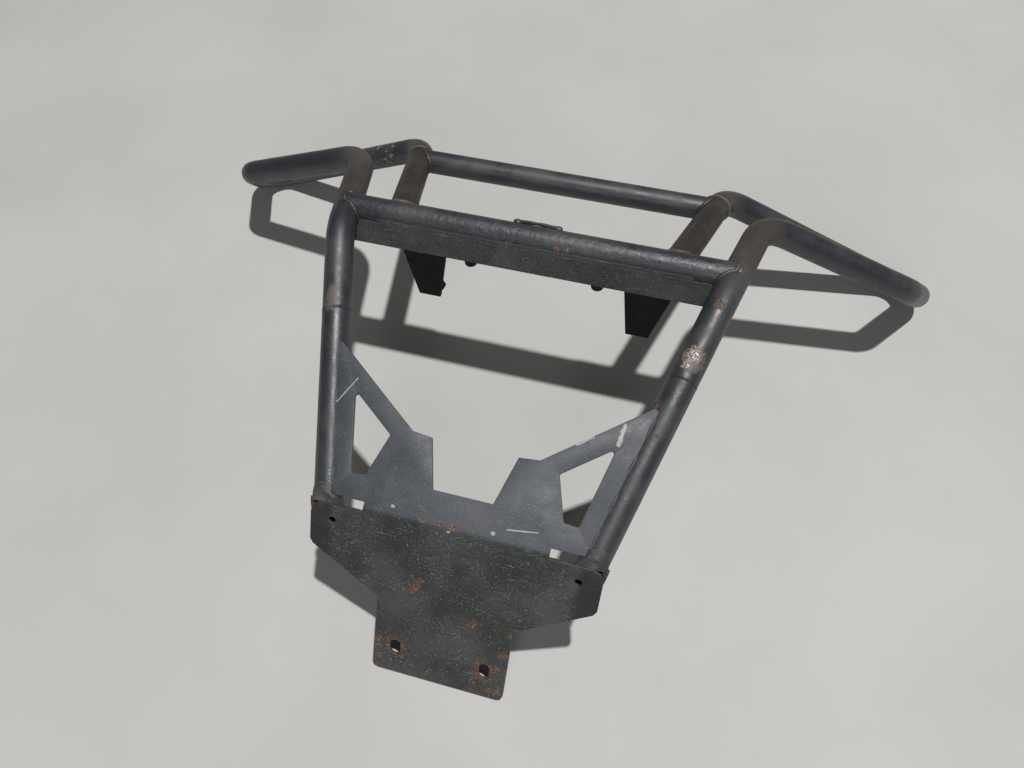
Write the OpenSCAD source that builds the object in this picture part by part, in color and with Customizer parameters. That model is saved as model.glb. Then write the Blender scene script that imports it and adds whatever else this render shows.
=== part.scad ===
// Front grille guard: a welded tube frame with a folded base plate, lying on its back.
// Frame: X across the guard, Y from the base plate to the rear bar, Z up from the floor.
// The origin is the middle of the footprint, on the floor. The guard is the same left and right.

/* [Tubes] */
// Outer diameter of the main tube
tube_od = 38.1; // [36:0.1:40]
// Wall thickness of all tubes
tube_wall = 2.4; // [2:0.1:3]
// Outer diameter of the rear bar
rear_bar_od = 34.9; // [32:0.1:38]
// Bend radius at the crossbar
knee_bend = 100; // [90:1:120]
// Bend radius of the top corner and of the rear corner
corner_bend = 60; // [50:1:65]
// Bend radius at the wing's end
wing_bend = 38; // [36:1:42]

/* [Base plate] */
// Sheet thickness
plate_t = 5; // [4:0.5:6]
// Slope of the skid below the horizontal
skid_slope = 52; // [48:1:56]
// Half width of the skid over the tube ends
ear_half = 185; // [180:1:188]
// Half width of the tongue
tongue_half = 90; // [84:1:96]
// Length of the skid from the fold to the tongue's end
skid_len = 243; // [236:1:250]
// Half spacing of the two bolt slots
bolt_half = 60.5; // [56:0.5:64]
// Width of a bolt slot
bolt_slot_w = 14; // [12:0.5:16]
// Length of a bolt slot, end to end
bolt_slot_len = 24; // [20:0.5:28]

/* [Crossbar] */
// Reach of the flange strip below the crossbar's front
flange_w = 40; // [36:1:46]
// Slope of the flange strip below the horizontal
flange_slope = 60; // [52:1:75]
// Thickness of the flange strip
flange_t = 4.5; // [4:0.5:6]

/* [Brackets] */
// Thickness of a bracket plate
bracket_t = 6; // [5:0.5:8]
// Length of a bracket plate below the crossbar
bracket_len = 137; // [125:1:140]

/* [Welds] */
// Leg length of a weld bead
weld = 3.5; // [3:0.5:5]

/* [Hidden] */
$fn = 64;

tube_r = tube_od / 2;
bar_r = rear_bar_od / 2;
// A bend is drawn a little fatter than the straight tube and the two lap, so they join cleanly.
swell = 0.3;
lap = 1;
big = 1500;        // larger than the whole guard

// Corners of the tube's centre line on the right side.
foot = [167, -251, 179];
knee = [256, 84, 285];
top_corner = [298, 261, 237];
wing_front = [531, 277, 134];
wing_rear = [614, 396, -20];
rear_corner = [243, 357, 175];
leg_end = [186, 119, 278];
splice_at = 245;   // from the foot, along the upright
seam_at = 42;      // from the rear corner, along the leg
bar_at = 49;       // the rear bar's place on the same line

up_dir = unit(knee - foot);
leg_dir = unit(leg_end - rear_corner);
splice = foot + up_dir * splice_at;
seam = rear_corner + leg_dir * seam_at;
crossbar_c = [0, 131, 275];
rear_bar_c = rear_corner + leg_dir * bar_at;
hoop_pts = [splice, knee, top_corner, wing_front, wing_rear, rear_corner, seam];
hoop_bends = [knee_bend, corner_bend, wing_bend, wing_bend, corner_bend];

// The base plate's two flats. Both are measured from the fold line, on the outer face.
gusset_slope = atan2(knee.z - foot.z, knee.y - foot.y);
gusset_rise = 16.6;   // outer face above the uprights' centre plane
fold = [0, foot.y - gusset_rise * sin(gusset_slope), foot.z + gusset_rise * cos(gusset_slope)];
fold_r = 9;           // outer radius of the fold
fold_half = 117;      // the fold runs between two relief slots
tube_lean = (knee.x - foot.x) / norm([knee.y - foot.y, knee.z - foot.z]);

function unit(v) = v / norm(v);
function flip(v) = [-v.x, v.y, v.z];
function setback(p, q, s, r) = r * tan(acos(unit(q - p) * unit(s - q)) / 2);
function edge_x(v) = foot.x + tube_lean * v;

module both() {
    children();
    mirror([1, 0, 0]) children();
}

// A round bar between two points.
module rod(a, b, r) {
    d = b - a;
    translate(a) rotate([0, acos(d.z / norm(d)), atan2(d.y, d.x)]) cylinder(r = r, h = norm(d));
}

// A part of a torus that turns the centre line p-q-s at q.
module elbow(p, q, s, bend_r, r) {
    u = unit(q - p);
    v = unit(s - q);
    turn = acos(u * v);
    start = q - u * bend_r * tan(turn / 2);
    centre = q + unit(v - u) * bend_r / cos(turn / 2);
    x = unit(start - centre);
    z = cross(x, u);
    multmatrix([[x.x, u.x, z.x, centre.x], [x.y, u.y, z.y, centre.y], [x.z, u.z, z.z, centre.z],
        [0, 0, 0, 1]])
        rotate_extrude(angle = turn) translate([bend_r, 0]) circle(r);
}

// A round bar through the points, with a bend at each inner one.
module bent(pts, bends, r) {
    n = len(pts);
    for (i = [0 : n - 2]) {
        d = unit(pts[i + 1] - pts[i]);
        head = i == 0 ? 0 : setback(pts[i - 1], pts[i], pts[i + 1], bends[i - 1]) - lap;
        tail = i == n - 2 ? 0 : setback(pts[i], pts[i + 1], pts[i + 2], bends[i]) - lap;
        rod(pts[i] + d * head, pts[i + 1] - d * tail, r);
    }
    for (i = [1 : n - 2]) elbow(pts[i - 1], pts[i], pts[i + 1], bends[i - 1], r + swell);
}

// Solid cores of the tubes on the right side. g makes one fatter or thinner.
module upright_core(g = 0) { rod(foot - up_dir * 60, splice, tube_r + g); }
module hoop_core(g = 0) { bent(hoop_pts, hoop_bends, tube_r + g); }
module neck_core(g = 0) { bent([splice, knee, top_corner], [knee_bend], tube_r + g); }
module rear_core(g = 0) { bent([wing_rear, rear_corner, seam], [corner_bend], tube_r + g); }
module leg_core(g = 0) { rod(seam, leg_end - leg_dir * 20, tube_r + g); }
module crossbar_core(g = 0, half = 290) {
    rod(crossbar_c - [half, 0, 0], crossbar_c + [half, 0, 0], tube_r + g);
}
module rear_bar_core(g = 0, half = 260) {
    c = [0, rear_bar_c.y, rear_bar_c.z];
    rod(c - [half, 0, 0], c + [half, 0, 0], bar_r + g);
}

// Places a flat drawing on a face of the base plate: x across, y away from the fold.
module on_gusset(depth) {
    translate(fold) rotate([gusset_slope, 0, 0]) translate([0, 0, -depth]) children();
}
module on_skid(depth) {
    translate(fold) rotate([skid_slope, 0, 0]) mirror([0, 1, 0]) translate([0, 0, -depth]) children();
}

// Everything on the front side of the skid's back face.
module ahead_of_skid(gap = 0) {
    on_skid(plate_t + gap) translate([-big / 2, -big / 2, 0]) cube([big, big, big / 2]);
}

module upright() {
    color("#2b2d2f") difference() {
        upright_core();
        upright_core(-tube_wall);
        ahead_of_skid();
    }
}

module hoop() {
    color("#2b2d2f") difference() {
        hoop_core();
        hoop_core(-tube_wall);
    }
}

module leg() {
    color("#34312e") difference() {
        leg_core();
        leg_core(-tube_wall);
        crossbar_core();
    }
}

module crossbar() {
    color("#2b2d2f") difference() {
        crossbar_core(half = 285);
        crossbar_core(-tube_wall, 286);
        both() neck_core();
        both() beyond_neck();
    }
}

// The far side of the upright, where the crossbar's stub is cut away.
module beyond_neck() {
    translate([272, 0, 200]) cube([60, 260, 160]);
}

module rear_bar() {
    color("#2b2d2f") difference() {
        rear_bar_core(half = 232);
        rear_bar_core(-tube_wall, 233);
        both() rear_core();
        both() leg_core();
    }
}

// The folded sheet's section, as one outline in Y and Z about the fold.
module folded_section() {
    bend = skid_slope - gusset_slope;
    reach = 300;
    mid = [-sin(gusset_slope + bend / 2), cos(gusset_slope + bend / 2)];
    centre = -mid * fold_r / cos(bend / 2);
    up = [cos(gusset_slope), sin(gusset_slope)];
    down = [-cos(skid_slope), -sin(skid_slope)];
    up_n = [-up.y, up.x];
    down_n = [down.y, -down.x];
    steps = 6;
    function arc(r) = [for (i = [0 : steps])
        let (a = gusset_slope + bend * i / steps) centre + r * [-sin(a), cos(a)]];
    polygon(concat(
        [up * reach], arc(fold_r), [down * reach, down * reach - down_n * plate_t],
        [for (i = [steps : -1 : 0]) arc(fold_r - plate_t)[i]], [up * reach - up_n * plate_t]));
}

module sheet() {
    translate([-ear_half - 60, fold.y, fold.z])
        rotate([90, 0, 90]) linear_extrude(2 * ear_half + 120) folded_section();
}

// One half of the gusset: a tower, an arm up the tube, and a strip beside the tube.
gusset_arm_v = 192;
gusset_half = [[-1, -12], [fold_half, -12], [fold_half, 7.3], [edge_x(7.3) - 2, 7.3],
    [edge_x(gusset_arm_v) - 5, gusset_arm_v], [202, 197], [81.4, 105.2], [55, 102.4],
    [38, 41.3], [-1, 41.3]];
window = [[167, 139], [143.5, 38], [125, 39.5], [107.5, 94]];

// One half of the skid: an ear over the tube's end, and the tongue.
ear_top = 6.5;
ear_low = 68;
tongue_top = 127;
corner_r = 8;
skid_half = [[-1, -12], [fold_half, -12], [fold_half, ear_top], [ear_half - 14, ear_top],
    [ear_half - 5, ear_top + 4], [ear_half - 1, ear_top + 10], [ear_half, ear_top + 18],
    [ear_half, ear_low - corner_r / 2], [ear_half - corner_r / 2, ear_low + corner_r / 3],
    [tongue_half, tongue_top], [tongue_half, skid_len - corner_r],
    [tongue_half - corner_r * 0.3, skid_len - corner_r * 0.3], [tongue_half - corner_r, skid_len],
    [-1, skid_len]];
bolt_v = 202;
vent = [156, 29, 4.5];   // place and radius of the vent hole in an ear

module bolt_slot() {
    shift = (bolt_slot_len - bolt_slot_w) / 2;
    for (s = [-1, 1]) translate([0, s * shift, 0]) cylinder(r = bolt_slot_w / 2, h = 40);
    translate([-bolt_slot_w / 2, -shift, 0]) cube([bolt_slot_w, 2 * shift, 40]);
}

module base_plate() {
    color("#454b50") difference() {
        intersection() {
            sheet();
            both() union() {
                on_gusset(12) linear_extrude(24) polygon(gusset_half);
                on_skid(12) linear_extrude(24) polygon(skid_half);
            }
        }
        both() on_gusset(20) linear_extrude(40) polygon(window);
        both() on_skid(20) translate([bolt_half, bolt_v, 0]) bolt_slot();
        both() on_skid(20) translate([vent.x, vent.y, 0]) cylinder(r = vent.z, h = 40);
        both() difference() {
            upright_core();
            ahead_of_skid();
        }
    }
}

// The bracket's own plane hangs under the crossbar and leans a little to the rear at its top.
bracket_lean = 13;
bracket_top = [0, 143, 262];
bracket_outline = [[120, 10], [213, 10], [175, -bracket_len], [142, -bracket_len]];
module on_bracket(depth) {
    translate(bracket_top) rotate([90 - bracket_lean, 0, 0]) translate([0, 0, -depth]) children();
}

module bracket() {
    color("#151617") difference() {
        on_bracket(bracket_t / 2) linear_extrude(bracket_t) polygon(bracket_outline);
        crossbar_core();
        leg_core();
    }
}

// A small nut on the back of the left bracket, at its tip. It reaches past the inner edge.
nut_at = [145, -122];
module bracket_nut() {
    nut_h = 8;
    mirror([1, 0, 0]) on_bracket(bracket_t / 2 + nut_h) translate([nut_at.x, nut_at.y, 0])
        color("#1c1d1e") difference() {
            cylinder(r = 8.5, h = nut_h, $fn = 6);
            translate([0, 0, -1]) cylinder(r = 4, h = nut_h + 2);
        }
}

// A short round stub under the crossbar.
stub_at = [92, 128, 205];
stub_r = 9;
module stub_core(g = 0) {
    translate(stub_at) cylinder(r = stub_r + g, h = 70);
}

module stub() {
    color("#191a1b") difference() {
        stub_core();
        crossbar_core();
        translate([stub_at.x - 30, stub_at.y - 30, crossbar_c.z]) cube(60);
    }
}

// A short rod along the crossbar's upper back.
lug_c = crossbar_c + [3, 18, 13];
lug_half = 28;
lug_r = 3;
module lug_core() { rod(lug_c - [lug_half, 0, 0], lug_c + [lug_half, 0, 0], lug_r); }

module crossbar_lug() {
    color("#26282a") difference() {
        lug_core();
        crossbar_core();
    }
}

// Clear film wound once round the left wing's rear tube.
film_far = 115;    // from the rear corner
film_near = 50;
film_t = 0.6;
module tape_wrap() {
    along = unit(rear_corner - wing_rear);
    a = flip(rear_corner - along * film_far);
    b = flip(rear_corner - along * film_near);
    color([0.8, 0.82, 0.84, 0.5]) difference() {
        rod(a, b, tube_r + film_t);
        rod(a - unit(b - a) * 5, b + unit(b - a) * 5, tube_r);
    }
}

// Places a box on the crossbar's front, where the strip lies flush with the tube's skin.
module on_flange(top, low, depth, half) {
    translate(crossbar_c) rotate([flange_slope, 0, 0])
        translate([-half, -low, tube_r - depth]) cube([2 * half, low - top, depth]);
}
flange_top = 8;
flange_half = 250;

module crossbar_flange() {
    color("#33383a") difference() {
        on_flange(flange_top, flange_w, flange_t, flange_half);
        crossbar_core();
        both() neck_core();
        both() upright_core();
    }
}

// A butt weld: a bead round a tube at p.
module butt_bead(p, dir, bead_r) {
    difference() {
        translate(p) rotate([0, acos(dir.z), atan2(dir.y, dir.x)])
            rotate_extrude() translate([tube_r, 0]) circle(bead_r, $fn = 24);
        rod(p - dir * 10, p + dir * 10, tube_r);
    }
}

module weld_splices() { color("#3a3733") both() butt_bead(splice, up_dir, 1.2); }
module weld_seams() {
    color("#4a443c") both() difference() {
        butt_bead(seam, leg_dir, 2.2);
        rear_bar_core(weld, 232);
    }
}

module weld_crossbar() {
    color("#3a3733") both() difference() {
        intersection() {
            rod([200, crossbar_c.y, crossbar_c.z], [275, crossbar_c.y, crossbar_c.z], tube_r + weld);
            neck_core(weld);
        }
        crossbar_core();
        neck_core();
        on_flange(0, flange_w, flange_t, 300);
    }
}

module weld_rear_bar() {
    color("#3a3733") both() difference() {
        intersection() {
            rod([180, rear_bar_c.y, rear_bar_c.z], [232, rear_bar_c.y, rear_bar_c.z], bar_r + weld);
            rod(seam - leg_dir * 40, seam + leg_dir * 60, tube_r + weld);
        }
        rear_bar_core();
        rear_core();
        leg_core();
    }
}

module weld_legs() {
    color("#5a4636") both() difference() {
        intersection() {
            rod(leg_end - leg_dir * 60, leg_end - leg_dir * 16, tube_r + weld);
            crossbar_core(weld);
        }
        crossbar_core();
        leg_core();
        bracket_blank();
    }
}

module bracket_blank() {
    on_bracket(bracket_t / 2) linear_extrude(bracket_t) polygon(bracket_outline);
}

module weld_brackets() {
    color("#202122") both() difference() {
        intersection() {
            on_bracket(bracket_t / 2 + weld) linear_extrude(bracket_t + 2 * weld) polygon(bracket_outline);
            crossbar_core(weld);
        }
        crossbar_core();
        leg_core();
        bracket_blank();
    }
}

// Stitches along the gusset's outer edges, on the tube.
module weld_base() {
    stitch = 26;
    starts = [14, 62, 110, 160];
    stitch_leg = 2.5;
    color("#3b3f43") both() difference() {
        intersection() {
            upright_core(stitch_leg);
            on_gusset(0) linear_extrude(stitch_leg) union() {
                for (v = starts) polygon([[edge_x(v) - 40, v], [edge_x(v) - 7, v],
                    [edge_x(v + stitch) - 7, v + stitch], [edge_x(v + stitch) - 40, v + stitch]]);
            }
        }
        upright_core();
    }
}

// Beads round the tube ends behind the ears, and the metal that caps each tube above its ear.
module weld_ears() {
    cap_r = 1.5;
    color("#6a4a3a") both() difference() {
        union() {
            intersection() {
                upright_core(weld);
                on_skid(plate_t + weld) translate([60, ear_top, 0]) cube([180, 110, weld]);
            }
            intersection() {
                upright_core(cap_r);
                on_skid(plate_t + weld) translate([60, -40, 0])
                    cube([180, 40 + ear_top, plate_t + weld - 1]);
            }
        }
        difference() {
            upright_core();
            ahead_of_skid();
        }
        on_gusset(plate_t + 1) linear_extrude(plate_t + 2) polygon(gusset_half);
    }
}

// Fills the wedge between the tube's skin and the strip's top edge.
module weld_flange() {
    color("#33383a") difference() {
        on_flange(3, flange_top, flange_t, 215);
        crossbar_core();
    }
}

module weld_stubs() {
    color("#202122") both() difference() {
        intersection() {
            stub_core(weld);
            crossbar_core(weld);
        }
        translate([stub_at.x - 30, stub_at.y - 30, crossbar_c.z]) cube(60);
        crossbar_core();
        stub_core();
        bracket_blank();
    }
}

module weld_lug() {
    color("#3a3733") difference() {
        for (side = [-1, 1]) translate(lug_c + [side * lug_half, -1.5, -1]) sphere(5);
        crossbar_core();
        lug_core();
    }
}

upright();  // upright_right
mirror([1, 0, 0]) upright();  // upright_left
hoop();  // hoop_right
mirror([1, 0, 0]) hoop();  // hoop_left
leg();  // leg_right
mirror([1, 0, 0]) leg();  // leg_left
crossbar();
crossbar_flange();
rear_bar();
base_plate();
bracket();  // bracket_right
mirror([1, 0, 0]) bracket();  // bracket_left
bracket_nut();
stub();  // stub_right
mirror([1, 0, 0]) stub();  // stub_left
crossbar_lug();
tape_wrap();
weld_base();
weld_ears();
weld_splices();
weld_crossbar();
weld_flange();
weld_seams();
weld_rear_bar();
weld_legs();
weld_brackets();
weld_stubs();
weld_lug();
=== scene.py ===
import math
import random
import bpy
import bmesh
from mathutils import Matrix, Vector, noise


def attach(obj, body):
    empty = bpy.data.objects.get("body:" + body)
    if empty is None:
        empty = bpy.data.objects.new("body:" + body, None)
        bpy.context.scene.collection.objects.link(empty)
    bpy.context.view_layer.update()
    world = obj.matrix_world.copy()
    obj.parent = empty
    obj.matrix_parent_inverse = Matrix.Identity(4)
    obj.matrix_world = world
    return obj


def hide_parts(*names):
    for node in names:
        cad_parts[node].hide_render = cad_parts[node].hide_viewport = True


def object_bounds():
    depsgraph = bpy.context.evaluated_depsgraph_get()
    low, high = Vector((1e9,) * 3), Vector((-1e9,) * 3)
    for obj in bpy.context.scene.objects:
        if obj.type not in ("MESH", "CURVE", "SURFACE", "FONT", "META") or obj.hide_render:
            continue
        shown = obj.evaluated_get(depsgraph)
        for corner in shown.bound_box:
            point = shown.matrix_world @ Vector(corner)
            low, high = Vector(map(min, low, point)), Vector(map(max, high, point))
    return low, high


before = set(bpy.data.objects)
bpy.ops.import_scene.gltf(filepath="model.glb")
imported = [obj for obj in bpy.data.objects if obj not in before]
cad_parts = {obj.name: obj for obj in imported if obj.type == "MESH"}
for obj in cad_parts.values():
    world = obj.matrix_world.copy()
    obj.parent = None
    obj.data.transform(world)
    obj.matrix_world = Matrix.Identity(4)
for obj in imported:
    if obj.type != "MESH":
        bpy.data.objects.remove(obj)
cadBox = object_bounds()
print("frame loaded, CAD box", [[round(c, 3) for c in corner] for corner in cadBox])

# The guard's driving sizes, in metres, as the part has them. Points are on the right side.
guard = {
    "foot": Vector((0.167, -0.251, 0.179)),
    "knee": Vector((0.256, 0.084, 0.285)),
    "topCorner": Vector((0.298, 0.261, 0.237)),
    "wingFront": Vector((0.531, 0.277, 0.134)),
    "wingRear": Vector((0.614, 0.396, -0.020)),
    "rearCorner": Vector((0.243, 0.357, 0.175)),
    "legEnd": Vector((0.186, 0.119, 0.278)),
    "crossbar": Vector((0.0, 0.131, 0.275)),
    "spliceAt": 0.245,      # up the upright from its foot
    "seamAt": 0.042,        # down the leg from the rear corner
    "rearBarAt": 0.049,     # the same way
    "tubeRadius": 0.01905,
    "tubeWall": 0.0024,
    "rearBarRadius": 0.01745,
    "kneeBend": 0.100,
    "cornerBend": 0.060,
    "wingBend": 0.038,
    "skidSlope": math.radians(52),
    "gussetRise": 0.0166,   # the gusset's face above the uprights' centre lines
}
upDir = (guard["knee"] - guard["foot"]).normalized()
legDir = (guard["legEnd"] - guard["rearCorner"]).normalized()
neckDir = (guard["topCorner"] - guard["knee"]).normalized()
splice = guard["foot"] + upDir * guard["spliceAt"]
seam = guard["rearCorner"] + legDir * guard["seamAt"]
rearBarEnd = guard["rearCorner"] + legDir * guard["rearBarAt"]
rise = guard["knee"] - guard["foot"]
gussetSlope = math.atan2(rise.z, rise.y)
gussetUp = Vector((0, math.cos(gussetSlope), math.sin(gussetSlope)))
gussetOut = Vector((0, -math.sin(gussetSlope), math.cos(gussetSlope)))
skidDown = Vector((0, -math.cos(guard["skidSlope"]), -math.sin(guard["skidSlope"])))
skidOut = Vector((0, -math.sin(guard["skidSlope"]), math.cos(guard["skidSlope"])))
foldMid = Vector((0, guard["foot"].y, guard["foot"].z)) + gussetOut * guard["gussetRise"]
tubeLean = rise.x / math.hypot(rise.y, rise.z)
across = Vector((1, 0, 0))
radius = guard["tubeRadius"]


def flip(point):
    return Vector((-point.x, point.y, point.z))


def onGusset(x, up, out=0.0):
    return foldMid + across * x + gussetUp * up + gussetOut * out


def onSkid(x, down, out=0.0):
    return foldMid + across * x + skidDown * down + skidOut * out


def edgeX(up):
    return guard["foot"].x + tubeLean * up    # the upright's centre line, seen on the gusset


def besideTube(start, direction, along, angle, away):
    # a point beside a tube: angle 0 is its top, positive turns towards +X
    side = direction.cross(Vector((0, 0, 1))).normalized()
    if side.x < 0:
        side = -side
    top = side.cross(direction).normalized()
    if top.z < 0:
        top = -top
    turn = math.radians(angle)
    return start + direction * along + (top * math.cos(turn) + side * math.sin(turn)) * away


# small helpers for node trees
def put(tree, kind, feeds=None, **settings):
    node = tree.nodes.new(kind)
    for name, value in settings.items():
        setattr(node, name, value)
    for name, value in (feeds or {}).items():
        if isinstance(value, bpy.types.NodeSocket):
            tree.links.new(value, node.inputs[name])
        else:
            node.inputs[name].default_value = value
    return node


def maths(tree, operation, first, second=0.0):
    return put(tree, "ShaderNodeMath", {0: first, 1: second}, operation=operation).outputs[0]


def times(tree, first, second):
    return maths(tree, "MULTIPLY", first, second)


def plus(tree, first, second):
    return maths(tree, "ADD", first, second)


def larger(tree, first, second):
    return maths(tree, "MAXIMUM", first, second)


def vectors(tree, operation, first, second):
    place = "Scale" if operation == "SCALE" else 1
    outputs = put(tree, "ShaderNodeVectorMath", {0: first, place: second}, operation=operation).outputs
    return outputs["Value" if operation in ("DISTANCE", "DOT_PRODUCT") else "Vector"]


def noiseAt(tree, place, scale, detail=3.0, roughness=0.55):
    feeds = {"Vector": place, "Scale": scale, "Detail": detail, "Roughness": roughness}
    return put(tree, "ShaderNodeTexNoise", feeds).outputs[0]


def soften(tree, value, low, high, start=0.0, end=1.0):
    feeds = {0: value, 1: low, 2: high, 3: start, 4: end}
    return put(tree, "ShaderNodeMapRange", feeds, interpolation_type="SMOOTHSTEP").outputs[0]


def mix(tree, factor, first, second, colours=False):
    node = put(tree, "ShaderNodeMix", data_type="RGBA" if colours else "FLOAT")
    ends = (6, 7) if colours else (2, 3)
    for place, value in ((0, factor), (ends[0], first), (ends[1], second)):
        if isinstance(value, bpy.types.NodeSocket):
            tree.links.new(value, node.inputs[place])
        else:
            node.inputs[place].default_value = (*value, 1) if isinstance(value, tuple) else value
    return node.outputs[2 if colours else 0]


def mixColours(tree, factor, first, second):
    return mix(tree, factor, first, second, colours=True)


# A mark's ragged rim: how far the noise pushes it, and where it starts and is full, in the mark's sizes.
spotRim = {"fray": 3.0, "start": 1.25, "full": 0.65}
lineRim = {"fray": 3.0, "start": 1.2, "full": 0.7}


def markAt(tree, away, size, rim, ragged):
    away = plus(tree, away, times(tree, ragged, size * rim["fray"]))
    return soften(tree, away, size * rim["start"], size * rim["full"])


def anyOf(tree, marks):
    total = marks[0]
    for mark in marks[1:]:
        total = larger(tree, total, mark)
    return total


def nearSpots(tree, place, spots, ragged):
    # 1 inside any of the (centre, radius) spots
    return anyOf(tree, [markAt(tree, vectors(tree, "DISTANCE", place, centre), size, spotRim, ragged)
                        for centre, size in spots])


def nearLines(tree, place, lines, ragged):
    # 1 along any of the (first, last, half width) lines
    marks = []
    for first, last, size in lines:
        run = last - first
        offset = vectors(tree, "SUBTRACT", place, first)
        part = vectors(tree, "DOT_PRODUCT", offset, run / run.length_squared)
        part = put(tree, "ShaderNodeClamp", {"Value": part}).outputs[0]
        away = vectors(tree, "DISTANCE", offset, vectors(tree, "SCALE", run, part))
        marks.append(markAt(tree, away, size, lineRim, ragged))
    return anyOf(tree, marks)


# Painted steel: one recipe, with a dictionary for each finish.
plainLook = {
    "paint": (0.024, 0.027, 0.034), "paintPale": (0.038, 0.041, 0.049),
    "roughness": 0.44, "specular": 0.85,
    "dust": 0.25, "dustColour": (0.13, 0.118, 0.105), "dustAt": (0.46, 0.70),
    "chips": 0.35, "chipRarity": 0.68, "chipColour": (0.44, 0.44, 0.41), "scratches": 0.5,
    "wear": 0.45, "wearColour": (0.16, 0.155, 0.15),
    "rust": 0.0, "rustSpots": [], "rustRings": [], "paleLines": [], "lineColour": (0.46, 0.46, 0.44),
    "brownSpots": [], "brown": (0.036, 0.029, 0.024), "brownPale": (0.075, 0.058, 0.044),
    "rustDark": (0.060, 0.032, 0.020), "rustPale": (0.30, 0.190, 0.115),
    "rustOrange": (0.135, 0.072, 0.040),
    "primerSpots": [], "primer": (0.165, 0.112, 0.098),
    "bareSpots": [], "bareColour": (0.62, 0.55, 0.46),
    "peel": 0.5, "lumps": 0.9, "lumpScale": 95, "bump": 0.4, "below": None,
}


# what all the finishes share: the size of each noise, and how the paint and the scratches use it
grain = {
    "clouds": 13, "smudge": 55, "fine": 430, "grit": 640, "ragged": 210, "rust": 42, "rustTone": 130,
    "cloudShare": 0.6, "fineShare": 0.4, "smoother": 0.06, "rougher": 0.08, "chipRim": 0.05,
    "scratchSize": (38, 900, 700), "scratchTurns": ((0.5, 0.2, 0.6), (0.3, -0.4, -0.9)),
    "edgeReach": 0.0014, "bumpDistance": 0.001,
}
# where each layer starts and is full on its noise, and where given the amounts at those two ends
fades = {
    "mottle": (0.40, 0.60), "gloss": (0.3, 0.7), "upward": (0.1, 0.95), "patch": (0.40, 0.62, 0.12, 1.0),
    "scratch": (0.73, 0.77), "rubbed": (0.30, 0.45, 0.35, 1.0), "edge": (0.985, 0.90),
    "edgePatch": (0.42, 0.60), "primer": (0.35, 0.65), "rust": (0.60, 0.66), "ring": (0.62, 0.46),
    "rustTone": (0.42, 0.60), "bare": (0.42, 0.55),
}
# how much of the paint each layer hides, how rough it is and how high it stands
cover = {"brown": 0.8, "primer": 0.85, "rust": 0.9, "bareMetallic": 0.7}
rough = {"brown": 0.6, "dust": 0.8, "primer": 0.62, "rust": 0.85, "bare": 0.38}
stand = {"rust": 0.25, "marks": 0.3, "bare": 2.0}


def look(**changes):
    return {**plainLook, **changes}


def belowFold(tree, place, ragged, look):
    # another shade under the fold line, and smoother, darker ears out to the sides; the ears' darkness is
    # darker paint and painted shade
    zone = look["below"]
    height = vectors(tree, "DOT_PRODUCT", vectors(tree, "SUBTRACT", place, zone["from"]), zone["up"])
    height = plus(tree, height, times(tree, ragged, zone["fray"]))
    under = soften(tree, height, zone["reach"], -zone["reach"])
    paint = mixColours(tree, under, look["paint"], zone["paint"])
    pale = mixColours(tree, under, look["paintPale"], zone["paintPale"])
    sideways = maths(tree, "ABSOLUTE", put(tree, "ShaderNodeSeparateXYZ", {0: place}).outputs["X"])
    sideways = plus(tree, sideways, times(tree, ragged, zone["earFray"]))
    ear = times(tree, under, soften(tree, sideways, zone["earFrom"], zone["earFrom"] + zone["earReach"]))
    # painted shade: the ears take a darker colour that stands for their shade as well as their paint
    paint = mixColours(tree, ear, paint, zone["earPaintAndShade"])
    pale = mixColours(tree, ear, pale, zone["earPaintAndShade"])
    chipAmount = mix(tree, under, look["chips"], zone["chips"])
    return paint, pale, mix(tree, ear, chipAmount, zone["earChips"])


def scratchLines(tree, place):
    lines = []
    for turn in grain["scratchTurns"]:
        stretch = put(tree, "ShaderNodeMapping", {
            "Vector": place, "Rotation": turn, "Scale": grain["scratchSize"]}).outputs[0]
        strands = put(tree, "ShaderNodeTexNoise", {
            "Vector": stretch, "Scale": 1.0, "Detail": 1.0}).outputs[0]
        lines.append(soften(tree, strands, *fades["scratch"]))
    return anyOf(tree, lines)


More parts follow.
